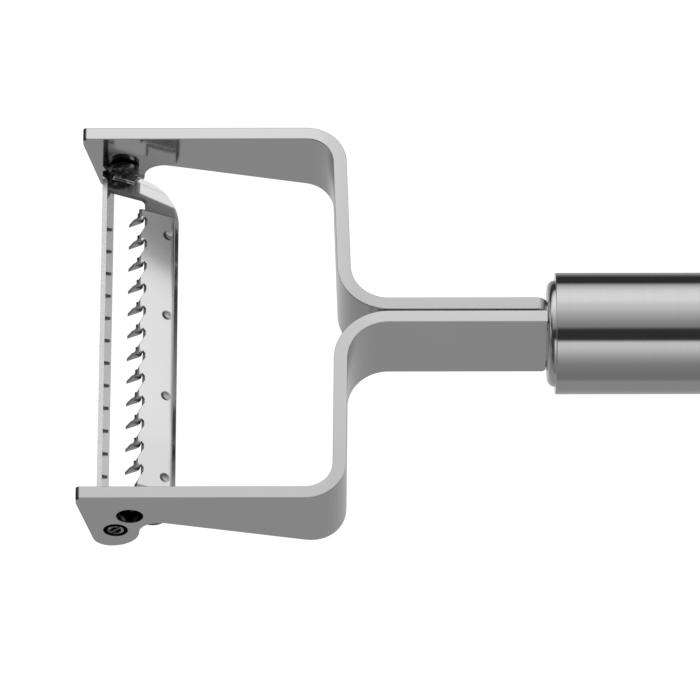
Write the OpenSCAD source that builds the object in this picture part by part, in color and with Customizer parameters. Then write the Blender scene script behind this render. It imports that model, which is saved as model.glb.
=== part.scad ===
// Julienne peeler: two bent flat bars carry a swivelling toothed blade,
// and meet in a round steel handle with a wire loop to hang it by.
// X runs along the handle, from the arm tips to the loop. Y runs along the
// blade and Z is up. The origin is on the handle axis, at mid length.

/* [Flat bars] */
// Thickness of the flat bar that each arm is bent from
bar_t = 2; // [1.6:0.1:2.6]
// Width of the flat bar, which stands on edge
bar_w = 14.8; // [13:0.1:16]
// Distance of the bars' middle below the handle axis
bar_drop = 0.3; // [0:0.1:0.6]
// Gap between the two bars where they run side by side
bar_gap = 0.22; // [0.1:0.02:0.6]
// Inside radius of the far arm's bend beside the handle
centre_bend_r = 5.6; // [4:0.1:8]
// Inside radius of the near arm's bend beside the handle
near_bend_r = 6.1; // [4:0.1:8]
// Inside radius of the bend at the head's outer corner
corner_bend_r = 4; // [3:0.1:6]
// Forward lean of the far arm's cross part, in degrees
cross_lean = 1.8; // [0:0.1:4]
// Forward lean of the near arm's cross part, in degrees
near_lean = 0.6; // [0:0.1:4]
// Length of the two bars side by side, from the bend to the tube
shank_len = 24.65; // [18:0.1:34]
// Radius of the far bar's upper corner at the front plug
bar_end_r = 1.8; // [0.5:0.1:3]
// Radius of both bars' lower corners at the front plug
bar_foot_r = 0.8; // [0.3:0.1:2]
// Height of the tenon that runs on into the front plug
tenon_h = 9; // [6:0.5:11]
// Length of the tenon inside the tube
tenon_len = 9; // [5:0.5:14]

/* [Head] */
// Width over the outer faces of the arms
head_w = 63.2; // [56:0.1:72]
// Length from the arm tips to the front rim of the tube
head_len = 70.25; // [62:0.5:80]
// Height of the upright end face at an arm tip
nose_h = 1.8; // [1:0.1:3]
// Rounding on top of an arm tip
nose_r = 0.5; // [0.2:0.1:1]
// Slope of the arm's front edge from upright, in degrees
front_slope = 11.6; // [5:0.2:14]
// Radius of the lobe behind the pivot
lobe_r = 4.15; // [3.9:0.05:4.6]
// Radius of the lobe's front corner
lobe_front_r = 2.75; // [1.6:0.05:3.4]
// Distance of the lobe's centre below the pivot
lobe_drop = 0.65; // [0.2:0.05:0.9]
// Radius between the lobe and the arm's lower edge
waist_r = 3; // [2:0.1:4]
// Height of the arm where it meets the corner bend
arm_root_h = 12.9; // [11:0.1:13.5]
// Rise of the arm's lower edge towards the tip, per mm
arm_taper = 0.25; // [0.2:0.01:0.28]
// Fall of the lower edge along the cross part, per mm
cross_taper = 0.3; // [0.25:0.01:0.5]

/* [Pivot] */
// Distance of the pivot behind the arm tips
pivot_back = 5.55; // [4.8:0.05:6]
// Distance of the pivot below the handle axis
pivot_drop = 2.65; // [1.5:0.05:3.2]
// Bore in each arm for the pivot stub
pivot_bore_d = 3.5; // [3:0.05:3.9]
// Running clearance of the stub in its bore, on the radius
pivot_clear = 0.08; // [0.03:0.01:0.1]
// Gap between the carrier's ends and the arms
end_gap = 0.4; // [0.3:0.05:0.6]
// Depth of a stub's bearing ring behind the arm's outer face
stub_recess = 0.9; // [0.5:0.1:1.2]
// Thickness of the rolled sheet of a stub
stub_wall = 0.4; // [0.3:0.05:0.6]
// Radius of the curl that shows inside the bore
curl_r = 1.2; // [1:0.05:1.3]
// Angle of the web in the rolled stub, in degrees
stub_twist = 72; // [30:1:80]

/* [Stop] */
// Hole in the near arm that limits the swing
stop_hole_d = 3.8; // [3.4:0.1:4.2]
// Distance of the stop hole from the pivot
stop_reach = 4.75; // [4.6:0.05:5]
// Width of the tab that plays in the stop hole
stop_tab_w = 1.2; // [0.9:0.1:1.4]
// Depth that the tab reaches into the arm
stop_tab_len = 0.7; // [0.5:0.1:1.8]

/* [Blade carrier] */
// Tilt of the carrier at the middle of its swing, in degrees
blade_tilt = 27.3; // [20:0.1:34]
// Thickness of the carrier sheet
sheet_t = 0.8; // [0.6:0.05:1]
// Distance of the carrier's rear edge behind the pivot
carrier_rear = 9.5; // [9:0.05:11]
// Plan radius of the carrier's far rear corner
carrier_corner_r = 6.5; // [3:0.1:7]
// Plan radius of the carrier's near rear corner
near_corner_r = 4.4; // [3:0.1:7]
// Front edge of the backing plate behind the pivot
slot_rear = 4.1; // [3.7:0.05:4.4]
// Corner radius of the peel slot
slot_corner_r = 0.7; // [0.3:0.1:1.2]
// Width of the solid sheet at each end of the slot
slot_land = 3.35; // [2.5:0.05:5]
// Height of the far ear above the pivot
ear_h = 3.6; // [3.2:0.1:4.3]
// Height of the near ear, which covers the stop hole
near_ear_h = 6.75; // [6:0.05:7]
// Reach of the ears behind the pivot
ear_rear = 1.8; // [1.7:0.1:2.4]
// Reach of the ears in front of the pivot
ear_front = 2.6; // [2.2:0.1:3]
// Corner radius of the ears
ear_r = 1.8; // [0.8:0.1:2]
// Inside radius of the bend under the ears
ear_bend_r = 0.7; // [0.3:0.1:1.2]

/* [Guide bar] */
// Width of the guide bar in front of the slot
guide_w = 2.6; // [2:0.1:3]
// Slope of the guide bar to the carrier sheet, in degrees
guide_slope = 41; // [30:1:55]
// Distance of the guide bar's middle in front of the pivot
guide_front = 1.9; // [1.8:0.05:2.3]
// Distance of the guide bar's middle below the pivot
guide_drop = 0.65; // [0.4:0.05:0.9]

/* [Toothed blade] */
// Thickness of the toothed blade
blade_t = 0.5; // [0.4:0.05:0.6]
// Distance of the cutting edge behind the pivot
edge_x = 2.75; // [2.5:0.05:3]
// Depth of the toothed blade from its edge to its back
blade_depth = 6; // [5:0.1:6.4]
// Bevel along the edges of the toothed blade
blade_bevel = 0.25; // [0.1:0.05:0.35]
// Gap from the slot's ends to the toothed blade
blade_end_gap = 1.55; // [0.5:0.05:2]
// Shift of the toothed blade towards the near arm
blade_shift = 0.6; // [0.2:0.1:0.9]
// Spacing of the teeth, which is the width of a strip
tooth_pitch = 3.866; // [3.6:0.002:4.6]
// Distance of the first tooth from the blade's far end
first_tooth = 2.1; // [1.8:0.1:2.6]
// Depth of the teeth below the blade's upper face
tooth_h = 2.75; // [2.3:0.05:3]
// How far the teeth stand in front of the cutting edge
tooth_lead = 0.55; // [0.3:0.05:0.8]
// Width of a tooth at its root
tooth_w = 1.3; // [1:0.05:1.4]
// Outside radius of the bend at the root of a tooth
tooth_bend_r = 0.9; // [0.7:0.05:1.1]
// Length of the notch that a tooth was folded out of
notch_len = 2.55; // [2:0.05:2.6]
// Depth of that notch behind the cutting edge
notch_depth = 1.2; // [1:0.05:1.4]
// Number of spot welds that hold the blade
weld_count = 4; // [2:1:4]
// Spacing of the spot welds
weld_pitch = 13.85; // [10:0.05:15]
// Diameter of a spot weld's dimple
weld_d = 1.6; // [1.2:0.1:2.4]
// Depth of a spot weld's dimple
weld_depth = 0.2; // [0.05:0.01:0.3]
// Distance of the spot welds in front of the blade's back
weld_inset = 1.35; // [1.2:0.05:2.4]

/* [Handle] */
// Outside diameter of the handle tube
tube_d = 18.1; // [17.5:0.1:22]
// Length of the handle tube
tube_len = 104; // [80:1:130]
// Wall of the handle tube
tube_wall = 1.1; // [0.8:0.1:1.4]
// Bevel on the rims of the tube
tube_bevel = 0.25; // [0.1:0.05:0.4]
// How far the front plug stands out of the tube
plug_proud = 1.2; // [1:0.05:2.5]
// Rounding of the front plug's edge
plug_r = 0.9; // [0.5:0.05:1]
// Length of the front plug inside the tube
plug_len = 12; // [8:0.5:18]

/* [End cap and loop] */
// Length of the end cap behind the tube
cap_len = 4; // [3:0.5:8]
// Rounding of the end cap's rear edge
cap_r = 2.6; // [1:0.1:3]
// Length of the end cap's spigot inside the tube
cap_spigot = 10; // [6:0.5:16]
// Diameter of the loop's wire
wire_d = 2.8; // [2:0.1:3.2]
// Distance between the middles of the loop's two legs
loop_w = 11; // [9:0.1:12]
// Straight length of each leg outside the end cap
leg_len = 5.1; // [3:0.1:12]
// Depth of each leg inside the end cap
leg_seat = 8; // [5:0.5:10]

/* [Hidden] */
$fn = 96;

fit = 0.02;
eps = 0.01;
// Arcs reach this far past the straights that they touch
lap = 0.01;

loop_reach = leg_len + loop_w / 2 + wire_d / 2;
total_len = head_len + tube_len + cap_len + loop_reach;
tip_x = -total_len / 2;
rim_x = tip_x + head_len;
tube_end_x = rim_x + tube_len;
cap_end_x = tube_end_x + cap_len;
bar_end_x = rim_x - plug_proud;
plug_d = tube_d - 2 * tube_wall;

// Plan of a bent bar: two bend centres and the straight between them
centre_x = rim_x - shank_len;
shank_y = bar_gap / 2;
corner_y = head_w / 2 - bar_t - corner_bend_r;
inner_y = head_w / 2 - bar_t;
root_x = corner_x(centre_bend_r, cross_lean);

// Side view of an arm: nose, lobe round the pivot, waist and lower edge
top_z = bar_w / 2 - bar_drop;
low_z = top_z - bar_w;
nose_z = top_z - nose_h;
pivot_x = tip_x + pivot_back;
pivot_z = -pivot_drop;
lobe_z = pivot_z - lobe_drop;
chin_z = lobe_z - lobe_r + lobe_front_r;
lobe_x = front_edge_x(chin_z) + lobe_front_r / cos(front_slope);
taper_a = atan(arm_taper);
lobe_h = (lower_edge_z(lobe_x) - lobe_z) * cos(taper_a);
waist_run = sqrt(pow(lobe_r + waist_r, 2) - pow(lobe_h - waist_r, 2));
foot_x = lobe_x + lobe_h * sin(taper_a);
foot_z = lobe_z + lobe_h * cos(taper_a);
waist_end_x = foot_x + waist_run * cos(taper_a);
waist_end_z = foot_z - waist_run * sin(taper_a);
waist_x = waist_end_x - waist_r * sin(taper_a);
waist_z = waist_end_z - waist_r * cos(taper_a);
full_x = root_x + (bar_w - arm_root_h) / arm_taper;

// Carrier and toothed blade, in the blade's own tilted frame
carrier_len = 2 * (inner_y - end_gap);
slot_len = carrier_len - 2 * slot_land;
sheet_top = sheet_t / 2;
blade_top = sheet_top + blade_t;
blade_len = slot_len - 2 * blade_end_gap;
blade_far = blade_len / 2 - blade_shift;
blade_back = edge_x + blade_depth;
tooth_front = edge_x - tooth_lead;
tooth_back = tooth_front + tooth_w;
tooth_count = floor((blade_len - first_tooth - notch_len) / tooth_pitch) + 1;
stub_r = pivot_bore_d / 2 - pivot_clear;

// Front edge of an arm at a height
function front_edge_x(z) = tip_x + tan(front_slope) * (nose_z - z);

// Lower edge of an arm at a distance along the handle
function lower_edge_z(x) = top_z - arm_root_h + arm_taper * (root_x - x);

// Middle of the bend beside the handle, across the handle
function centre_y(bend_r) = shank_y + bar_t + bend_r;

// Middle of the outer corner's bend, along the handle
function corner_x(bend_r, lean) =
    centre_x - bend_r - bar_t - corner_bend_r - (corner_y - centre_y(bend_r)) * tan(lean);

// A box given by its lowest and highest corners
module block(low, high) {
    translate(low)
        cube(high - low);
}

// Extrudes an outline drawn in X and Z along Y, between two values of Y
module along_y(from, to) {
    translate([0, to, 0])
        rotate([90, 0, 0])
            linear_extrude(to - from)
                children();
}

// Extrudes an outline drawn in Y and Z along X, between two values of X
module along_x(from, to) {
    translate([from, 0, 0])
        rotate([90, 0, 90])
            linear_extrude(to - from)
                children();
}

// A rectangle with arcs at its corners, the first corner at [x, y]
module round_rect(x, y, w, h, r) {
    translate([x + r, y])
        square([w - 2 * r, h]);
    translate([x, y + r])
        square([w, h - 2 * r]);
    for (cx = [x + r, x + w - r])
        for (cy = [y + r, y + h - r])
            translate([cx, cy])
                circle(r);
}

// Plan of a quarter bend about the origin, towards +X and +Y
module bend_plan(radius) {
    intersection() {
        difference() {
            circle(radius + bar_t);
            circle(radius);
        }
        square(radius + 2 * bar_t);
    }
}

// Plan of the whole bent bar on the +Y side
module bar_plan(bend_r, lean) {
    x = corner_x(bend_r, lean);
    y = centre_y(bend_r);
    translate([centre_x, shank_y])
        square([rim_x + tenon_len - centre_x, bar_t]);
    translate([centre_x, y])
        rotate(180)
            bend_plan(bend_r);
    polygon([
        [centre_x - bend_r - bar_t, y],
        [centre_x - bend_r, y],
        [x + corner_bend_r + bar_t, corner_y],
        [x + corner_bend_r, corner_y]
    ]);
    translate([x, corner_y])
        bend_plan(corner_bend_r);
    translate([tip_x, inner_y])
        square([x - tip_x, bar_t]);
}

// What a rounded corner takes off, for a corner towards +X and +Y
module corner_waste(radius) {
    difference() {
        square(radius + 1);
        circle(radius + lap);
    }
}

// Outline of an arm seen from the side, before its corners are rounded
module arm_blank() {
    polygon([
        [tip_x, top_z],
        [bar_end_x, top_z],
        [bar_end_x, low_z],
        [full_x, low_z],
        [waist_end_x, waist_end_z],
        [foot_x, foot_z],
        [lobe_x, lobe_z],
        [lobe_x, chin_z],
        [lobe_x - lobe_front_r * cos(front_slope), chin_z - lobe_front_r * sin(front_slope)],
        [tip_x, nose_z]
    ]);
    translate([lobe_x, chin_z])
        circle(lobe_front_r + lap);
    intersection() {
        translate([lobe_x, lobe_z])
            circle(lobe_r);
        translate([lobe_x, lobe_z - 2 * lobe_r])
            square([2 * lobe_r, 4 * lobe_r]);
    }
    difference() {
        polygon([
            [lobe_x, lobe_z],
            [waist_x, waist_z],
            [waist_end_x, waist_end_z],
            [waist_end_x, foot_z],
            [foot_x, foot_z]
        ]);
        translate([waist_x, waist_z])
            circle(waist_r + lap);
    }
}

// Side view of an arm, with its rounded corners and its tenon
module arm_side(end_r) {
    difference() {
        arm_blank();
        translate([tip_x + nose_r, top_z - nose_r])
            mirror([1, 0, 0])
                corner_waste(nose_r);
        translate([bar_end_x - bar_foot_r, low_z + bar_foot_r])
            mirror([0, 1, 0])
                corner_waste(bar_foot_r);
        if (end_r > 0)
            translate([bar_end_x - end_r, top_z - end_r])
                corner_waste(end_r);
    }
    translate([bar_end_x - 1, -tenon_h / 2])
        square([rim_x + tenon_len - bar_end_x + 1, tenon_h]);
}

// View of the cross part from the front, with its falling lower edge
module cross_side() {
    corner_z = lower_edge_z(root_x);
    polygon([
        [0, top_z],
        [inner_y, top_z],
        [inner_y, corner_z],
        [inner_y - (corner_z - low_z) / cross_taper, low_z],
        [0, low_z]
    ]);
}

// One arm on the +Y side, with its pivot bore
module arm_body(bend_r, lean, end_r) {
    difference() {
        intersection() {
            translate([0, 0, low_z])
                linear_extrude(bar_w)
                    bar_plan(bend_r, lean);
            union() {
                along_y(-1, head_w / 2 + 1)
                    arm_side(end_r);
                along_x(corner_x(bend_r, lean) + corner_bend_r / 2, centre_x)
                    cross_side();
            }
        }
        along_y(inner_y - 1, head_w / 2 + 1)
            translate([pivot_x, pivot_z])
                circle(d = pivot_bore_d);
    }
}

module far_arm() {
    color("silver")
        arm_body(centre_bend_r, cross_lean, bar_end_r);
}

module near_arm() {
    color("silver")
        difference() {
            mirror([0, 1, 0])
                arm_body(near_bend_r, near_lean, 0);
            along_y(-head_w / 2 - 1, -inner_y + 1)
                translate([pivot_x + stop_reach * sin(blade_tilt), pivot_z + stop_reach * cos(blade_tilt)])
                    circle(d = stop_hole_d);
        }
}

// Solid plug welded to both bars, with a slot for their tenons
module front_plug() {
    r = plug_d / 2 - fit;
    color("lightgrey")
        difference() {
            translate([bar_end_x, 0, 0])
                rotate([0, 90, 0])
                    rotate_extrude() {
                        square([r - plug_r, plug_proud + plug_len]);
                        translate([0, plug_r])
                            square([r, plug_proud + plug_len - plug_r]);
                        translate([r - plug_r, plug_r])
                            intersection() {
                                circle(plug_r);
                                translate([0, -plug_r])
                                    square(plug_r);
                            }
                    }
            block([bar_end_x - 1, -shank_y - bar_t - fit, -tenon_h / 2 - fit],
                [rim_x + tenon_len + fit, shank_y + bar_t + fit, tenon_h / 2 + fit]);
        }
}

// Brushed tube of the handle, open at both ends
module handle_tube() {
    r = tube_d / 2;
    ri = plug_d / 2;
    color("lightsteelblue")
        translate([rim_x, 0, 0])
            rotate([0, 90, 0])
                rotate_extrude()
                    polygon([
                        [ri, 0],
                        [r - tube_bevel, 0],
                        [r, tube_bevel],
                        [r, tube_len - tube_bevel],
                        [r - tube_bevel, tube_len],
                        [ri, tube_len]
                    ]);
}

// Cap that closes the tube and holds the loop's legs
module end_cap() {
    r = tube_d / 2;
    rs = plug_d / 2 - fit;
    color("lightgrey")
        difference() {
            translate([tube_end_x, 0, 0])
                rotate([0, 90, 0])
                    rotate_extrude() {
                        square([r, cap_len - cap_r]);
                        square([r - cap_r, cap_len]);
                        translate([r - cap_r, cap_len - cap_r])
                            intersection() {
                                circle(cap_r);
                                square(cap_r);
                            }
                        translate([0, -cap_spigot])
                            square([rs, cap_spigot + eps]);
                    }
            for (side = [-1, 1])
                translate([cap_end_x - leg_seat - fit, side * loop_w / 2, 0])
                    rotate([0, 90, 0])
                        cylinder(d = wire_d + 2 * fit, h = leg_seat + 1);
        }
}

// Bent wire loop with both legs in the end cap
module hanging_loop() {
    bend_x = cap_end_x + leg_len;
    color("silver") {
        for (side = [-1, 1])
            translate([cap_end_x - leg_seat, side * loop_w / 2, 0])
                rotate([0, 90, 0])
                    cylinder(d = wire_d, h = leg_seat + leg_len);
        translate([bend_x, 0, 0])
            rotate([0, 0, -90])
                rotate_extrude(angle = 180)
                    translate([loop_w / 2, 0])
                        circle(d = wire_d);
    }
}

// Places the blade's own frame: its origin on the pivot, X along the sheet
module at_pivot() {
    translate([pivot_x, 0, pivot_z])
        rotate([0, blade_tilt, 0])
            children();
}

// Plan of the carrier sheet, with its peel slot
module carrier_plan() {
    half = carrier_len / 2;
    front = -ear_front;
    difference() {
        translate([front, -half])
            square([carrier_rear - front, carrier_len]);
        translate([carrier_rear - carrier_corner_r, half - carrier_corner_r])
            corner_waste(carrier_corner_r);
        translate([carrier_rear - near_corner_r, -half + near_corner_r])
            mirror([0, 1, 0])
                corner_waste(near_corner_r);
        translate([front - 1, -slot_len / 2])
            square([slot_rear - slot_corner_r - front + 1, slot_len]);
        round_rect(-1, -slot_len / 2, slot_rear + 1, slot_len, slot_corner_r);
    }
}

// Guide bar in front of the slot, sloped down towards the blade
module guide_bar() {
    translate([-guide_front, 0, -guide_drop])
        rotate([0, guide_slope, 0])
            along_y(-carrier_len / 2, carrier_len / 2)
                translate([-guide_w / 2, -sheet_t / 2])
                    square([guide_w, sheet_t]);
}

// The two hollows of a sheet that is curled to an S inside a radius
module curl_hollows(radius) {
    hollow_r = radius - stub_wall;
    for (turn = [0, 180])
        rotate(stub_twist + turn) {
            intersection() {
                circle(hollow_r);
                translate([-radius, stub_wall / 2])
                    square([2 * radius, radius]);
            }
            translate([hollow_r / 2, stub_wall / 2])
                square([radius - hollow_r / 2, stub_wall / 2]);
        }
}

// Upright ear at the far end, bent from the sheet, with its inner fillet
module ear(height) {
    y1 = carrier_len / 2;
    y0 = y1 - sheet_t;
    along_y(y0, y1)
        difference() {
            round_rect(-ear_front, -ear_r, ear_front + ear_rear, height + ear_r, ear_r);
            translate([-ear_front - 1, -sheet_t / 2 - height])
                square([ear_front + ear_rear + 2, height]);
            curl_hollows(curl_r);
        }
    along_x(-ear_front + ear_r / 2, ear_rear)
        difference() {
            translate([y0 - ear_bend_r, sheet_top - eps])
                square([ear_bend_r + eps, ear_bend_r + eps]);
            translate([y0 - ear_bend_r, sheet_top + ear_bend_r])
                circle(ear_bend_r);
        }
}

// Rolled stub at the far end: a bearing ring and the curl that fills it
module stub() {
    y1 = carrier_len / 2 + end_gap + bar_t;
    along_y(carrier_len / 2 - lap, y1 - stub_recess)
        difference() {
            circle(stub_r);
            curl_hollows(curl_r);
        }
    along_y(y1 - stub_recess - lap, y1 - fit)
        difference() {
            circle(curl_r);
            curl_hollows(curl_r);
        }
}

// Tab pressed out of the near ear into the stop hole
module stop_tab() {
    half = carrier_len / 2;
    w = stop_tab_w / 2;
    block([-w, -half - end_gap - stop_tab_len, stop_reach - sheet_t / 2],
        [w, -half + sheet_t / 2, stop_reach + sheet_t / 2]);
}

// One stamped and bent sheet: plate, guide bar, ears, stubs and stop tab
module blade_carrier() {
    color("gainsboro")
        at_pivot() {
            translate([0, 0, -sheet_t / 2])
                linear_extrude(sheet_t)
                    carrier_plan();
            guide_bar();
            ear(ear_h);
            mirror([0, 1, 0])
                ear(near_ear_h);
            for (side = [0, 1])
                mirror([0, side, 0])
                    stub();
            stop_tab();
        }
}

// Side view of a tooth: upright leading edge, hollow trailing edge
module tooth_outline() {
    low = blade_top - tooth_h;
    reach = tooth_back - tooth_front;
    polygon([
        [edge_x + blade_bevel, blade_top],
        [edge_x, blade_top - blade_bevel],
        [tooth_front, blade_top - tooth_bend_r],
        [tooth_front, low],
        [tooth_front + 0.5 * reach, low + 0.42 * tooth_h],
        [tooth_front + 0.8 * reach, low + 0.66 * tooth_h],
        [tooth_back, low + 0.84 * tooth_h],
        [tooth_back, blade_top]
    ]);
}

// Section of a tooth along the blade: flat land, round bend, upright fin
module tooth_section() {
    inner = tooth_bend_r - blade_t;
    centre_z = blade_top - tooth_bend_r;
    translate([0, blade_top - tooth_h - 1])
        square([blade_t, tooth_h + 1 - tooth_bend_r]);
    translate([tooth_bend_r, centre_z])
        difference() {
            circle(tooth_bend_r);
            circle(inner);
            translate([0, -tooth_bend_r - 1])
                square([tooth_bend_r + 1, 2 * tooth_bend_r + 2]);
            translate([-tooth_bend_r - 1, -tooth_bend_r - 1])
                square([tooth_bend_r + 2, tooth_bend_r + 1]);
        }
    translate([tooth_bend_r - eps, blade_top - blade_t])
        square([blade_t, blade_t]);
}

// One tooth with the outer face of its fin on Y = 0
module tooth() {
    intersection() {
        along_y(-1, tooth_bend_r + blade_t)
            tooth_outline();
        along_x(tooth_front - 1, tooth_back + 1)
            tooth_section();
    }
}

// Plan of the notch that one tooth leaves in the blade
module notch_plan() {
    front = tooth_front - 1;
    back = edge_x + notch_depth;
    polygon([
        [front, tooth_bend_r],
        [tooth_back, tooth_bend_r],
        [back, tooth_bend_r / 2],
        [back, -0.1 * notch_len],
        [edge_x, -notch_len],
        [front, -notch_len]
    ]);
}

// Flat part of the toothed blade, bevelled along its front and back
module blade_plate() {
    under = sheet_top;
    b = blade_bevel;
    along_y(blade_far - blade_len, blade_far)
        polygon([
            [edge_x, under],
            [blade_back, under],
            [blade_back, blade_top - b],
            [blade_back - b, blade_top],
            [edge_x + b, blade_top],
            [edge_x, blade_top - b]
        ]);
}

// Toothed blade: twelve fins folded down from its front edge
module toothed_blade() {
    ball_r = (weld_d * weld_d / 4 + weld_depth * weld_depth) / (2 * weld_depth);
    color("whitesmoke")
        at_pivot() {
            difference() {
                blade_plate();
                for (i = [0 : tooth_count - 1])
                    translate([0, blade_far - first_tooth - i * tooth_pitch, -1])
                        linear_extrude(blade_top + 2)
                            notch_plan();
                for (i = [0 : weld_count - 1])
                    translate([
                        blade_back - weld_inset,
                        (i - (weld_count - 1) / 2) * weld_pitch - blade_shift,
                        blade_top - weld_depth + ball_r
                    ])
                        sphere(ball_r);
            }
            for (i = [0 : tooth_count - 1])
                translate([0, blade_far - first_tooth - i * tooth_pitch, 0])
                    tooth();
        }
}

far_arm();
near_arm();
front_plug();
handle_tube();
end_cap();
hanging_loop();
blade_carrier();
toothed_blade();
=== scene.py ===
"""Looks of the julienne peeler: polished bars with eased edges, a tube brushed round
its girth, a mirror-bright blade in its carrier, and the studio that they stand in.

The CAD nodes give the shapes. A copy of each bent or stamped node with clean flat faces
stands for it, and the round pieces are turned or swept here, so that their curves are
fine enough to mirror the studio. X runs along the handle and Z is up.
"""

import math

import bmesh
import bpy
from mathutils import Matrix, Vector


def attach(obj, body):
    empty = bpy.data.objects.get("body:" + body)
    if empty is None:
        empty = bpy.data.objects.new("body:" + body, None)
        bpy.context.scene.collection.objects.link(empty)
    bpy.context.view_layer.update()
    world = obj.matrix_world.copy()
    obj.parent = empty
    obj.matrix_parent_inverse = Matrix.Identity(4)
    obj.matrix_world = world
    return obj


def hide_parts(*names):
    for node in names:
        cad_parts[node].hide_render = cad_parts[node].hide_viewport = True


MM = 0.001

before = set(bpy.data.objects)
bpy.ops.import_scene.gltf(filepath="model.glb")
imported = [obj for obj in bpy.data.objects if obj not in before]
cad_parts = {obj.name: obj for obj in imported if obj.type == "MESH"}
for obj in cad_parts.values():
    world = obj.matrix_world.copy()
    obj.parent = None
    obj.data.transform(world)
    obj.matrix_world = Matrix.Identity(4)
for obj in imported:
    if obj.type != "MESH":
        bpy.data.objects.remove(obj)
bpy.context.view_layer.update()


# Sizes in millimetres, read off the frame where it has them


def span(node):
    """Lowest and highest corner of a CAD node, in millimetres."""
    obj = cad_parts[node]
    corners = [obj.matrix_world @ Vector(corner) / MM for corner in obj.bound_box]
    low = Vector([min(c[i] for c in corners) for i in range(3)])
    high = Vector([max(c[i] for c in corners) for i in range(3)])
    return low, high


tube_low, tube_high = span("handle_tube")
plug_low, plug_high = span("front_plug")
_, cap_high = span("end_cap")
loop_low, loop_high = span("hanging_loop")

tube_r = tube_high.z
tube_len = tube_high.x - tube_low.x
plug_r = plug_high.z
cap_len = cap_high.x - tube_high.x
wire_r = loop_high.z
loop_r = loop_high.y - wire_r
TUBE_WALL = 1.1
TUBE_CHAMFER = 0.1
PLUG_LEN = 6
PLUG_ROUND = 1.2
CAP_ROUND = 2.6
CAP_CHAMFER = 0.15
EDGE = 0.14

# The small run of weld behind the far bar, in millimetres: its middle and its half sizes
BEAD_CENTRE = Vector((plug_low.x, -0.3, 5.8))
BEAD_HALF = Vector((0.5, 2.0, 0.8))

# The carrier's sheet: its tilt, and the bends at its rear as the press leaves them. Each bend
# has where it starts and ends, from the pivot along the sheet, and its degrees. The blade's
# two ends are rolled over a width, by some degrees.
TILT = math.radians(27.3)
ALONG_SHEET = Vector((math.cos(TILT), 0, -math.sin(TILT)))
OFF_SHEET = Vector((math.sin(TILT), 0, math.cos(TILT)))
CARRIER_BENDS = [(8.7, 8.85, 12.5), (9.3, 9.5, 19)]
BLADE_BENDS = [(7.8, 8.6, 9), (8.6, 8.75, 22)]
END_BEND = (0.22, 40)

# Places in metres: the axes of the two holes in the near arm, the arms' inner faces, the
# tips' end, the bars' top and the start of the plug
PIVOT_X, PIVOT_Z = -0.089575, -0.00265
PIVOT = Vector((PIVOT_X, 0, PIVOT_Z))
STOP_X, STOP_Z = -0.0874, 0.00157
ARM_INNER_Y = 0.0296
TIP_X = -0.095125
TOP_Z = 0.0071
WELD_X = plug_low.x * MM

# The tab in the stop hole, in metres: where it is found on the carrier, and how much of its
# size is taken off
TAB_OUT_Y = -0.0285
TAB_REACH = 0.0009
TAB_SLIMMER = 0.04

# Where a look fades into another, in metres along an axis, as the start and end of the fade.
# On the bars:
HOLE_FADE = 0.00003
# The bores and the cut tips get painted shade, near black, within these:
PIVOT_BORE_R, STOP_BORE_R = 0.00182, 0.00199
TIP_CUT_X = (TIP_X + 0.0004, TIP_X + 0.0006)
TIP_CUT_Z = (TOP_Z - 0.0005, TOP_Z - 0.0003)
# Painted shade on the far bar behind its bend, along X and across Y:
SHADE_BEHIND_BEND_X, SHADE_BEHIND_BEND_Y = (-0.059, -0.052), (0.0, 0.0005)
BEND_START_X, BEND_END_X = (-0.0605, -0.0585), (-0.0535, -0.0505)
# A painted highlight runs along the groove between the two bars, within these:
GROOVE_X, GROOVE_HALF = (-0.0515, -0.0475), (0.00013, 0.00016)
HEAT_X, HEAT_Y = (WELD_X - 0.0022, WELD_X - 0.0008), (0.0, 0.0002)
# On the carrier, where out is the distance from the handle's axis along Y:
# The ears, their roots and the stubs get painted shade, bounded by the next three rows:
EAR_OUT, EAR_X, EAR_Z = (0.0283, 0.0284), (-0.0857, -0.0855), (-0.0031, -0.0028)
ROOT_OUT, ROOT_X = (0.0255, 0.0272), (-0.0887, -0.0868)
STUB_OUT = (ARM_INNER_Y, ARM_INNER_Y + 0.00005)
GUIDE_X = (-0.0903, -0.09)
# On the plug, from its front face, how deep its painted shade goes:
FACE_DEEP = (0.00003, 0.00008)
# On the blade, off its sheet, below which the fins are folded down and get painted shade:
FOLDED_OFF = (0.0003, 0.0005)

# The blade's spot welds in metres: their places along Y, distance from the pivot and radius
SPOT_Y = [(i - 1.5) * 0.01385 - 0.0006 for i in range(4)]
SPOT_PAST = 0.0074
SPOT_R = 0.0008

# How the blade's ends sink: from where along Y, over what run the slope grows, and how fast
SINK_FROM, SINK_RUN, SINK_GROWTH = 0.009, 0.007, 12.0


# Materials


class Value:
    """A value in a material. Sums of numbers are written as in plain Python."""

    def __init__(self, shade, socket):
        self.shade = shade
        self.socket = socket

    def __add__(self, other):
        return self.shade.maths("ADD", self, other)

    def __radd__(self, other):
        return self.shade.maths("ADD", other, self)

    def __sub__(self, other):
        return self.shade.maths("SUBTRACT", self, other)

    def __rsub__(self, other):
        return self.shade.maths("SUBTRACT", other, self)

    def __mul__(self, other):
        return self.shade.maths("MULTIPLY", self, other)

    def __rmul__(self, other):
        return self.shade.maths("MULTIPLY", other, self)

    def part(self, letter):
        """One part of a vector, by its letter."""
        return self.shade.node("ShaderNodeSeparateXYZ", {}, {0: self}, out=letter)


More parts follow.
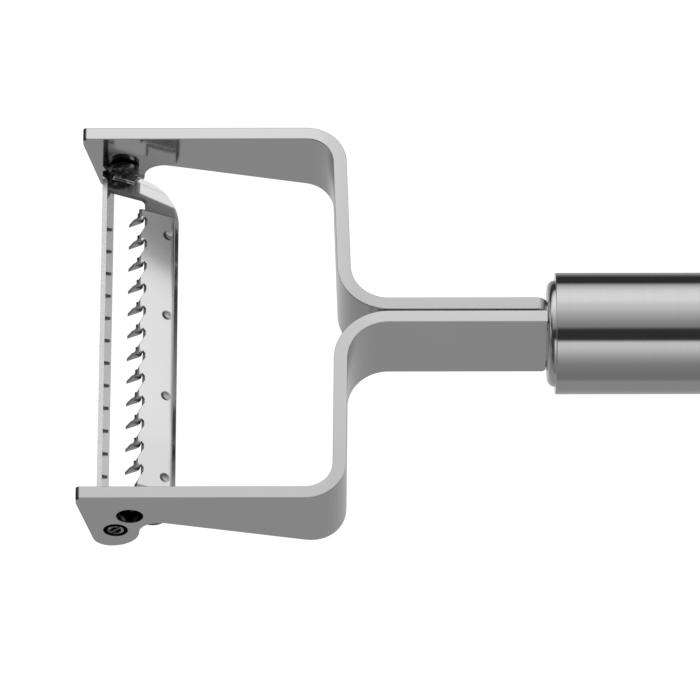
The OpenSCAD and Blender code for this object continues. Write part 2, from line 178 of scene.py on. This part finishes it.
class Shade:
    """Builds one node tree, a material's or the world's."""

    def __init__(self, owner):
        owner.use_nodes = True
        self.owner = owner
        self.tree = owner.node_tree
        self.tree.nodes.clear()

    def node(self, kind_name, settings=None, inputs=None, out=0):
        """Adds a node: its settings first, then the values or links of its sockets."""
        made = self.tree.nodes.new(kind_name)
        for name, value in (settings or {}).items():
            if name == "stops":
                self._stops(made.color_ramp, value)
            else:
                setattr(made, name, value)
        for name, value in (inputs or {}).items():
            socket = made.inputs[name]
            if isinstance(value, Value):
                self.tree.links.new(value.socket, socket)
            else:
                socket.default_value = value
        return Value(self, made.outputs[out])

    @staticmethod
    def _stops(ramp, stops):
        while len(ramp.elements) > 1:
            ramp.elements.remove(ramp.elements[-1])
        for index, (place, level) in enumerate(stops):
            stop = ramp.elements[0] if index == 0 else ramp.elements.new(place)
            stop.position = place
            stop.color = grey(level)

    def maths(self, operation, *terms):
        """A sum of numbers, by the name of its operation."""
        return self.node("ShaderNodeMath", {"operation": operation}, dict(enumerate(terms)))

    def coords(self, scale=(1, 1, 1)):
        """Place on the piece in its own frame, stretched by a scale along each axis."""
        place = self.node("ShaderNodeTexCoord", out="Object")
        return self.node("ShaderNodeMapping", {}, {"Vector": place, "Scale": scale})

    def noise(self, scale, detail=3.0, rough=0.5):
        """Noise with a scale along each axis, or one for all three."""
        if not isinstance(scale, tuple):
            scale = (scale, scale, scale)
        sockets = {"Vector": self.coords(scale), "Scale": 1.0, "Detail": detail, "Roughness": rough}
        return self.node("ShaderNodeTexNoise", {}, sockets)

    def ramp(self, fac, stops):
        return self.node("ShaderNodeValToRGB", {"stops": stops}, {"Fac": fac})

    def between(self, value, low, high, start=0.0, end=1.0):
        """A number that runs from low to high as the value runs from start to end."""
        sockets = {"From Min": start, "From Max": end, "To Min": low, "To Max": high}
        return self.node("ShaderNodeMapRange", {}, {"Value": value, **sockets})

    def above(self, value, fade):
        """0 below a fade and 1 above it."""
        return self.between(value, 0.0, 1.0, *fade)

    def below(self, value, fade):
        """1 below a fade and 0 above it."""
        return self.between(value, 1.0, 0.0, *fade)

    def mix_colours(self, fac, first, second):
        sockets = {0: fac, 6: first, 7: second}
        return self.node("ShaderNodeMix", {"data_type": "RGBA"}, sockets, out=2)

    def near(self, first, second, first_centre, second_centre, radius):
        """1 within a radius of a point or an axis, given as two places, and 0 outside it."""
        away, off = first - first_centre, second - second_centre
        apart = self.maths("SQRT", away * away + off * off)
        return self.below(apart, (radius, radius + HOLE_FADE))

    def bump(self, height, depth, strength=1.0):
        sockets = {"Height": height, "Distance": depth, "Strength": strength}
        return self.node("ShaderNodeBump", {}, sockets)

    def seen_by_rays(self):
        """1 for what sees the white background: the camera, metal and glass."""
        kinds = ("Is Camera Ray", "Is Glossy Ray", "Is Transmission Ray")
        return sum(self.node("ShaderNodeLightPath", out=kind) for kind in kinds)

    def glow(self, colour, strength):
        return self.node("ShaderNodeEmission", {}, {"Color": colour, "Strength": strength})

    def end(self, kind_name, shader):
        """Ends the tree with a surface."""
        last = self.tree.nodes.new(kind_name)
        self.tree.links.new(shader.socket, last.inputs["Surface"])

    def steel(self, colour, roughness, **rest):
        """A metal surface that ends the tree."""
        inputs = {"Base Color": colour, "Metallic": 1.0, "Roughness": roughness}
        inputs.update({name.replace("_", " "): value for name, value in rest.items()})
        shader = self.node("ShaderNodeBsdfPrincipled", {}, inputs)
        self.end("ShaderNodeOutputMaterial", shader)


def material(name):
    return Shade(bpy.data.materials.new(name))


def grey(level):
    return (level, level, level, 1)


def bar_finish():
    """Flat bar polished to a soft mirror, with a faint grain along it. The cut tips and the
    bores get painted shade, near black. The bends and the far bar's end by the weld have a
    duller gloss, the groove between the two bars gets a painted highlight, and behind its bend
    the far bar gets painted shade, a little darker.
    """
    s = material("polished_bar")
    place = s.coords()
    x, y, z = place.part("X"), place.part("Y"), place.part("Z")
    grain = s.noise((400, 400, 6000), 2.0)
    cloud = s.noise(60)
    colour = s.mix_colours(cloud, grey(0.62), grey(0.66))
    # Painted shade: the far bar a little darker behind its bend.
    shade_behind_bend = s.above(x, SHADE_BEHIND_BEND_X) * s.above(y, SHADE_BEHIND_BEND_Y)
    colour = s.mix_colours(shade_behind_bend, colour, grey(0.56))
    # Painted shade, near black, on the cut tips and in the two bores.
    tip = s.below(x, TIP_CUT_X) * s.above(z, TIP_CUT_Z)
    near_side = s.below(y, (-0.0001, 0.0001))
    stop_hole = s.near(x, z, STOP_X, STOP_Z, STOP_BORE_R) * near_side
    bore = s.near(x, z, PIVOT_X, PIVOT_Z, PIVOT_BORE_R) + stop_hole
    colour = s.mix_colours(tip + bore, colour, grey(0.05))
    # A painted highlight along the groove between the two bars, which is also rougher.
    groove = s.below(s.maths("ABSOLUTE", y), GROOVE_HALF) * s.above(x, GROOVE_X)
    colour = s.mix_colours(groove, colour, grey(0.8))
    heat = s.above(x, HEAT_X) * s.above(y, HEAT_Y)
    bent = s.above(x, BEND_START_X) * s.below(x, BEND_END_X)
    roughness = s.between(grain, 0.08, 0.12) + heat * 0.3 + bent * 0.2 + groove * 0.3
    s.steel(colour, roughness, Normal=s.bump(grain, 1e-6, 0.2))
    return s.owner


def tube_finish():
    """Tube brushed round its girth: fine rings that spread the light along the tube."""
    s = material("brushed_tube")
    rings = s.noise((120, 120, 24000), 3.0, 0.65)
    broad = s.noise((20, 20, 3500), 2.0)
    streak = s.noise((12, 12, 800))
    s.steel(
        s.mix_colours(rings * 0.5 + streak * 0.5, grey(0.57), grey(0.65)),
        s.between(broad, 0.1, 0.15),
        Anisotropic=0.8,
        Anisotropic_Rotation=0.25,
        Normal=s.bump(rings * 0.6 + broad * 0.4, 1e-6, 0.3),
    )
    return s.owner


def rub_marks(s):
    """The faint marks that a polishing wheel leaves."""
    return s.noise(300, 4.0, 0.6)


def polished(name, level, rough_low, rough_high):
    """Polished steel with faint rub marks."""
    s = material(name)
    rub = rub_marks(s)
    colour = s.mix_colours(rub, grey(level - 0.02), grey(level + 0.02))
    s.steel(colour, s.between(rub, rough_low, rough_high), Normal=s.bump(rub, 1e-6, 0.1))
    return s.owner


def carrier_finish():
    """Bright stamped sheet. Its ears, their roots and what turns in the arms' bores get painted
    shade, near black, with small painted highlights. The guide bar is ground, with a fine
    speckle.
    """
    s = material("bright_carrier")
    rub = rub_marks(s)
    speckle = s.noise(3600, 3.0, 0.7)
    highlight_noise = s.noise(1100, 2.0)
    place = s.coords()
    x, z = place.part("X"), place.part("Z")
    out = s.maths("ABSOLUTE", place.part("Y"))
    # Painted shade, near black, on the ears, their roots and the stubs in the bores, with small
    # painted highlights.
    ear = s.above(out, EAR_OUT) * s.below(x, EAR_X) * s.above(z, EAR_Z)
    root = s.above(out, ROOT_OUT) * s.below(x, ROOT_X)
    painted_shade_mask = ear + root + s.above(out, STUB_OUT)
    ground = s.below(x, GUIDE_X) * s.above(speckle, (0.45, 0.65))
    colour = s.mix_colours(rub, grey(0.72), grey(0.76))
    colour = s.mix_colours(ground, colour, grey(0.62))
    shade_with_highlights = s.mix_colours(s.above(highlight_noise, (0.55, 0.68)), grey(0.12), grey(0.5))
    colour = s.mix_colours(painted_shade_mask, colour, shade_with_highlights)
    s.steel(colour, s.between(rub, 0.06, 0.1), Normal=s.bump(rub, 1e-6, 0.1))
    return s.owner


def blade_finish():
    """Polished sheet with a soft gloss. Beyond the middle its ends sink a little. The
    folded fins get painted shade, and the spot welds are darker.
    """
    s = material("bright_blade")
    rub = rub_marks(s)
    place = s.coords()
    x, y, z = place.part("X") - PIVOT_X, place.part("Y"), place.part("Z") - PIVOT_Z
    out = s.maths("ABSOLUTE", y)
    past = s.maths("MAXIMUM", out - SINK_FROM, 0.0)
    turn = s.maths("MINIMUM", past, SINK_RUN)
    sunk = (turn * past - turn * turn * 0.5) * -SINK_GROWTH
    past_pivot = x * ALONG_SHEET.x + z * ALONG_SHEET.z
    off_sheet = x * OFF_SHEET.x + z * OFF_SHEET.z
    colour = s.mix_colours(rub, grey(0.74), grey(0.78))
    # Painted shade on the folded fins.
    colour = s.mix_colours(s.below(off_sheet, FOLDED_OFF), colour, grey(0.58))
    for spot in SPOT_Y:
        burnt = s.near(past_pivot, y, SPOT_PAST, spot, SPOT_R)
        colour = s.mix_colours(burnt, colour, grey(0.42))
    s.steel(colour, s.between(rub, 0.2, 0.26), Normal=s.bump(sunk + rub * 1e-7, 1.0))
    return s.owner


def plug_finish():
    """Turned and polished steel. The front face gets painted shade."""
    s = material("polished_plug")
    rub = rub_marks(s)
    # Painted shade on the plug's front face.
    face = s.below(s.coords().part("Z"), FACE_DEEP)
    colour = s.mix_colours(face, s.mix_colours(rub, grey(0.64), grey(0.68)), grey(0.3))
    s.steel(colour, s.between(rub, 0.1, 0.16), Normal=s.bump(rub, 1e-6, 0.1))
    return s.owner


BAR = bar_finish()
TUBE = tube_finish()
PLUG = plug_finish()
CAP = polished("polished_cap", 0.66, 0.12, 0.2)
WIRE = polished("polished_wire", 0.66, 0.1, 0.18)
CARRIER = carrier_finish()
BLADE = blade_finish()
# The cut edges are rougher, as sheared, and their near-black colour is painted shade.
CUT_EDGE = polished("cut_edge", 0.19, 0.25, 0.4)
WELD = polished("weld", 0.5, 0.32, 0.4)


# Pieces


def in_scene(name, data):
    """A new object in the scene."""
    obj = bpy.data.objects.new(name, data)
    bpy.context.scene.collection.objects.link(obj)
    return obj


def mesh_of(shape, name):
    """Turns a shape into a mesh, and is done with the shape."""
    mesh = bpy.data.meshes.new(name)
    shape.to_mesh(mesh)
    shape.free()
    return mesh


def smooth_mesh(shape, name, sharp=None):
    """A smooth mesh of a shape. Edges above an angle in degrees stay sharp."""
    bmesh.ops.recalc_face_normals(shape, faces=shape.faces)
    mesh = mesh_of(shape, name)
    mesh.shade_smooth()
    if sharp:
        mesh.set_sharp_from_angle(angle=math.radians(sharp))
    return mesh


def finish_piece(mesh, body, node, slot, *looks):
    """An object that rides on a body, stands for a CAD node if it is given, and has its looks."""
    obj = in_scene(mesh.name, mesh)
    mesh.materials.clear()
    for look in looks:
        mesh.materials.append(look)
    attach(obj, body)
    if node:
        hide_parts(node)
    return obj


def sag(past, start, end, degrees):
    """How far a bend lets the sheet down at a distance along it."""
    lean, run = math.tan(math.radians(degrees)), end - start
    inside = min(max(past - start, 0), run)
    return lean * (inside * inside / (2 * run) + max(past - end, 0))


def slice_up(shape, place, across):
    """Cuts the faces along a plane, so that they can bend there."""
    geom = shape.verts[:] + shape.edges[:] + shape.faces[:]
    bmesh.ops.bisect_plane(shape, geom=geom, dist=0.001 * MM, plane_co=place, plane_no=across)


def press_edges(shape, bends, end_bend, parts=4):
    """Lets the rear of a sheet down in soft bends, and rolls its two ends over."""
    for start, end, _ in bends:
        for k in range(parts + 1):
            along = (start + (end - start) * k / parts) * MM
            slice_up(shape, PIVOT + ALONG_SHEET * along, ALONG_SHEET)
    side = max(vert.co.y for vert in shape.verts) / MM
    if end_bend:
        for k in range(parts):
            out = (side - end_bend[0] * (k + 1) / parts) * MM
            for way in (-1, 1):
                slice_up(shape, Vector((0, way * out, 0)), Vector((0, 1, 0)))
    for vert in shape.verts:
        past = (vert.co - PIVOT).dot(ALONG_SHEET) / MM
        down = sum(sag(past, *bend) for bend in bends)
        if end_bend:
            down += sag(abs(vert.co.y) / MM, side - end_bend[0], side, end_bend[1])
        vert.co -= OFF_SHEET * down * MM


def slim_stop_tab(shape):
    """Leaves a hair of room round the tab that plays in the stop hole."""
    for vert in shape.verts:
        away_x, away_z = vert.co.x - STOP_X, vert.co.z - STOP_Z
        if vert.co.y < TAB_OUT_Y and math.hypot(away_x, away_z) < TAB_REACH:
            vert.co -= Vector((away_x, 0, away_z)) * TAB_SLIMMER


def clean_copy(node, body, slot, looks, edge=0.0, bends=None, end_bend=None, is_cut=None):
    """A copy of a CAD node with whole flat faces. Its edges are eased by a width, or its
    sheet is bent at its rear and its cut edges get the second look.
    """
    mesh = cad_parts[node].data.copy()
    mesh.name = node + "_finished"
    shape = bmesh.new()
    shape.from_mesh(mesh)
    bmesh.ops.remove_doubles(shape, verts=shape.verts, dist=0.0002 * MM)
    bmesh.ops.dissolve_limit(
        shape, angle_limit=math.radians(0.5), verts=shape.verts, edges=shape.edges,
    )
    if bends:
        press_edges(shape, bends, end_bend)
        slim_stop_tab(shape)
        shape.normal_update()
    shape.faces.index_update()
    looks_at = [0] * len(shape.faces)
    if is_cut:
        looks_at = [int(is_cut(f.calc_center_median(), f.normal)) for f in shape.faces]
    shape.to_mesh(mesh)
    shape.free()
    mesh.shade_smooth()
    mesh.set_sharp_from_angle(angle=math.radians(30))
    obj = finish_piece(mesh, body, node, slot, *looks)
    mesh.polygons.foreach_set("material_index", looks_at)
    if edge:
        easing = obj.modifiers.new("easing", "BEVEL")
        easing.width = edge * MM
        easing.segments = 3
        easing.limit_method = "ANGLE"
        easing.angle_limit = math.radians(30)
        easing.use_clamp_overlap = False
    flat = obj.modifiers.new("flat_faces", "WEIGHTED_NORMAL")
    flat.keep_sharp = not edge
    flat.weight = 50 if edge else 100
    return obj


def carrier_cut(centre, normal):
    """The carrier's outline: its narrow faces, apart from the ground guide bar."""
    past = (centre - PIVOT).dot(ALONG_SHEET) / MM
    flat = abs(normal.dot(OFF_SHEET)) > 0.75
    sideways = abs(normal.y) > 0.95
    side_edge = sideways and centre.z < -2.9 * MM
    between_arms = abs(centre.y) < ARM_INNER_Y
    return side_edge or (between_arms and not flat and not sideways and past > 0.5)


def blade_cut(centre, normal):
    """The blade's outline and the sheared edges of its fins, but not its plate or bends."""
    past = (centre - PIVOT).dot(ALONG_SHEET) / MM
    return abs(normal.dot(ALONG_SHEET)) > (0.8 if past > 7.4 else 0.3)


def new_ring(shape, count, place):
    """A ring of points, each placed in millimetres from its angle."""
    return [shape.verts.new(Vector(place(2 * math.pi * i / count)) * MM) for i in range(count)]


def join_rings(shape, rings):
    """Faces from each ring to the next. A ring of one point closes a round end."""
    for low, high in zip(rings, rings[1:]):
        count = max(len(low), len(high))
        for i in range(count):
            j = (i + 1) % count
            corners = [low[i % len(low)], low[j % len(low)]]
            corners += [high[j % len(high)], high[i % len(high)]]
            shape.faces.new(list(dict.fromkeys(corners)))


def turned(name, body, node, slot, look, profile, from_x, steps=192):
    """A piece turned about the handle's axis. The profile runs as (distance along, radius)."""
    shape = bmesh.new()
    rings = []
    for along, radius in profile:

        def place(angle):
            return radius * math.cos(angle), radius * math.sin(angle), along

        rings.append(new_ring(shape, steps if radius > 0 else 1, place))
    is_hollow = len(rings[0]) > 1
    join_rings(shape, rings + [rings[0]] if is_hollow else rings)
    obj = finish_piece(smooth_mesh(shape, name, 30), body, node, slot, look)
    upright = Matrix.Rotation(math.radians(90), 4, "Y")
    obj.matrix_world = Matrix.Translation((from_x * MM, 0, 0)) @ upright
    return obj


def arc(cx, cy, r, start, end, steps):
    """Points on an arc, the angles in degrees."""
    out = []
    for i in range(steps + 1):
        a = math.radians(start + (end - start) * i / steps)
        out.append((cx + r * math.cos(a), cy + r * math.sin(a)))
    return out


def bent_wire(name, body, node, slot, look, path, radius, steps=32):
    """A round wire along a path of points in the plane of the loop."""
    shape = bmesh.new()
    rings = []
    for i, (x, y) in enumerate(path):
        before = Vector(path[max(i - 1, 0)])
        after = Vector(path[min(i + 1, len(path) - 1)])
        along = (after - before).normalized()
        across = Vector((-along.y, along.x))

        def place(angle):
            side = across * math.cos(angle) * radius
            return x + side.x, y + side.y, math.sin(angle) * radius

        rings.append(new_ring(shape, steps, place))
    join_rings(shape, rings)
    for ring in (rings[0], rings[-1]):
        shape.faces.new(ring)
    return finish_piece(smooth_mesh(shape, name, 40), body, node, slot, look)


def weld_bead(name, body, slot, look, centre, half):
    """A small run of weld: a rounded bead with the ripples that the torch leaves."""
    shape = bmesh.new()
    parts, steps = 24, 32
    rings = []
    for i in range(parts + 1):
        tilt = math.pi * i / parts
        swell = math.sin(tilt) * (1 + 0.02 * math.sin(9 * tilt))

        def place(angle):
            x, z = math.cos(angle) * swell, math.sin(angle) * swell
            return centre + Vector((x * half.x, -math.cos(tilt) * half.y, z * half.z))

        rings.append(new_ring(shape, 1 if i in (0, parts) else steps, place))
    join_rings(shape, rings)
    return finish_piece(smooth_mesh(shape, name), body, None, slot, look)


for arm in ("far_arm", "near_arm"):
    clean_copy(arm, "frame", "bar_steel", [BAR], edge=EDGE)
clean_copy(
    "blade_carrier", "blade", "carrier_steel", [CARRIER, CUT_EDGE],
    bends=CARRIER_BENDS, is_cut=carrier_cut,
)
clean_copy(
    "toothed_blade", "blade", "blade_steel", [BLADE, CUT_EDGE],
    bends=BLADE_BENDS, end_bend=END_BEND, is_cut=blade_cut,
)
weld_bead("weld_bead", "frame", "plug_steel", WELD, BEAD_CENTRE, BEAD_HALF)

bore_r = tube_r - TUBE_WALL
turned(
    "handle_tube_brushed", "frame", "handle_tube", "tube_steel", TUBE,
    [(TUBE_CHAMFER, bore_r), (0, bore_r + TUBE_CHAMFER), (0, tube_r - EDGE)]
    + arc(EDGE, tube_r - EDGE, EDGE, 180, 90, 6)
    + arc(tube_len - EDGE, tube_r - EDGE, EDGE, 90, 0, 6)
    + [(tube_len, bore_r + TUBE_CHAMFER), (tube_len - TUBE_CHAMFER, bore_r)],
    tube_low.x, steps=256,
)
turned(
    "front_plug_turned", "frame", "front_plug", "plug_steel", PLUG,
    [(0, 0)]
    + arc(PLUG_ROUND, plug_r - PLUG_ROUND, PLUG_ROUND, 180, 90, 16)
    + [(PLUG_LEN, plug_r), (PLUG_LEN, 0)],
    plug_low.x, steps=256,
)
turned(
    "end_cap_turned", "frame", "end_cap", "cap_steel", CAP,
    [(0, 0), (0, tube_r - CAP_CHAMFER), (CAP_CHAMFER, tube_r)]
    + arc(cap_len - CAP_ROUND, tube_r - CAP_ROUND, CAP_ROUND, 90, 0, 16)
    + [(cap_len, 0)],
    tube_high.x,
)
bend_x = loop_high.x - wire_r - loop_r
bent_wire(
    "hanging_loop_bent", "frame", "hanging_loop", "wire_steel", WIRE,
    [(loop_low.x, -loop_r)] + arc(bend_x, 0, loop_r, -90, 90, 48) + [(loop_low.x, loop_r)],
    wire_r,
)


# Studio

# The tent's radius and half its length, in metres
TENT_R, TENT_HALF = 0.25, 1.5

# The tent's cards round the axis. Each has where it starts and ends in degrees, 0 in front
# of the near arm and 90 overhead, and how bright it is there.
MIDDLE_CARDS = [
    (-180, -168, 0.04, 0.04),
    (-160, -148, 0.17, 0.4),
    (-134, -130, 0.45, 0.6),
    (-121, -116, 0.75, 0.62),
    (-102, -78, 0.47, 0.37),
    (-62, -44, 0.352, 0.37),
    (-36, -24, 0.25, 0.24),
    (0, 12, 0.31, 0.44),
    (34, 43, 0.84, 0.84),
    (48, 67, 0.04, 0.04),
    (72, 84, 0.29, 0.42),
    (96, 108, 0.59, 0.8),
    (113, 119, 0.84, 0.93),
    (125, 140, 1.07, 1.06),
    (150, 161, 0.9, 0.6),
    (170, 180, 0.04, 0.04),
]
REAR_CARDS = [
    (-180, -169, 0.04, 0.04),
    (-164, -90, 0.3, 0.45),
    (-60, -20, 0.32, 0.3),
    (36, 45, 0.38, 0.43),
    (47.5, 48.8, 0.55, 0.52),
    (50.4, 51, 0.04, 0.04),
    (67, 70, 0.04, 0.25),
    (84, 96, 0.42, 0.59),
    (108, 117, 0.86, 1.0),
    (134, 145, 1.06, 0.96),
    (158, 166, 0.57, 0.25),
    (172, 180, 0.04, 0.04),
]

# Where the lens stands, its length in millimetres, and its tilt and roll in degrees
CAMERA_PLACE = (-0.05525, -0.50274, 0.86598)
CAMERA_LENS = 347.45
CAMERA_TILT, CAMERA_ROLL = 30, -0.1


def soft_world():
    """Even light all round, on a background that the camera, metal and glass see white."""
    world = bpy.data.worlds.new("studio")
    bpy.context.scene.world = world
    s = Shade(world)
    shown = s.mix_colours(s.seen_by_rays(), grey(0.8), grey(1.0))
    sky = s.node("ShaderNodeBackground", {}, {"Color": shown, "Strength": 1.0})
    s.end("ShaderNodeOutputWorld", sky)


def turns(*degrees):
    """Degrees round the axis as parts of a turn, from -180 on."""
    return [(angle + 180) / 360 for angle in degrees]


def tent_cloth():
    """The tent's brightness: one ring of cards for most of it and one behind the plug, with
    dark cards by the tips and a bright one low down.
    """
    s = material("tent_cloth")
    place = s.coords()
    x = place.part("X")
    angle = s.maths("ARCTAN2", place.part("Z"), 0.0 - place.part("Y"))
    turn = angle * (0.5 / math.pi) + 0.5

    def ring(cards):
        stops = []
        for start, end, first, last in cards:
            stops += zip(turns(start, end), (first, last))
        return s.ramp(turn, stops)

    def card(rise, fall):
        return s.above(turn, turns(*rise)) * s.below(turn, turns(*fall))

    middle, rear = ring(MIDDLE_CARDS), ring(REAR_CARDS)
    level = s.mix_colours(s.above(x, (0.125, 0.15)), middle, rear)
    dimmed = s.mix_colours(0.15, level, grey(0.0))
    level = s.mix_colours(s.below(x, (-0.25, -0.18)), level, dimmed)
    front = card((-20, -10), (47, 50)) * s.below(x, (-0.15, -0.11))
    level = s.mix_colours(front, level, grey(0.07))
    far_front = card((-20, -10), (128, 134)) * s.below(x, (-0.42, -0.32))
    level = s.mix_colours(far_front, level, grey(0.07))
    low_card = card((-135, -132), (-125, -123))
    low_card = low_card * s.above(x, (-0.05, -0.03)) * s.below(x, (0.055, 0.065))
    level = s.mix_colours(low_card, level, grey(1.6))
    s.end("ShaderNodeOutputMaterial", s.glow(level, 1.0))
    return s.owner


def light_tent(steps=96):
    """The cards round the tool that its polished faces mirror: a long tube of cloth about
    the handle's axis. Only reflections see it, so it casts no shadow and hides nothing.
    """
    shape = bmesh.new()
    ends = []
    for x in (-TENT_HALF, TENT_HALF):

        def place(angle):
            return x / MM, TENT_R * math.cos(angle) / MM, TENT_R * math.sin(angle) / MM

        ends.append(new_ring(shape, steps, place))
    join_rings(shape, ends)
    mesh = mesh_of(shape, "light_tent")
    mesh.materials.append(tent_cloth())
    tent = in_scene("light_tent", mesh)
    for sight in ("camera", "diffuse", "transmission", "volume_scatter", "shadow"):
        setattr(tent, "visible_" + sight, False)


def pale_floor():
    """A wide pale floor under the tool. The camera sees it white, with the shadow kept."""
    shape = bmesh.new()
    bmesh.ops.create_grid(shape, x_segments=8, y_segments=8, size=3.0)
    mesh = mesh_of(shape, "floor")
    s = material("pale_floor")
    paint = s.node("ShaderNodeBsdfDiffuse", {}, {"Color": grey(0.8)})
    dark, bright = s.glow(grey(0.0), 0.0), s.glow(grey(1.0), 0.42)
    extra = s.node("ShaderNodeMixShader", {}, {0: s.seen_by_rays(), 1: dark, 2: bright})
    s.end("ShaderNodeOutputMaterial", s.node("ShaderNodeAddShader", {}, {0: paint, 1: extra}))
    mesh.materials.append(s.owner)
    floor = in_scene("floor", mesh)
    floor.location = (-0.055, 0, -0.26)


def photo_camera():
    """The photograph's view: 60 degrees above the handle, from the near arm's side."""
    lens = bpy.data.cameras.new("photo_camera")
    lens.sensor_width = 36
    lens.lens = CAMERA_LENS
    lens.clip_start = 0.05
    lens.clip_end = 20
    camera = in_scene("photo_camera", lens)
    tilt = Matrix.Rotation(math.radians(CAMERA_TILT), 4, "X")
    roll = Matrix.Rotation(math.radians(CAMERA_ROLL), 4, "Z")
    camera.matrix_world = Matrix.Translation(CAMERA_PLACE) @ tilt @ roll
    bpy.context.scene.camera = camera


soft_world()
light_tent()
pale_floor()
photo_camera()
bpy.context.scene.view_settings.view_transform = "Standard"
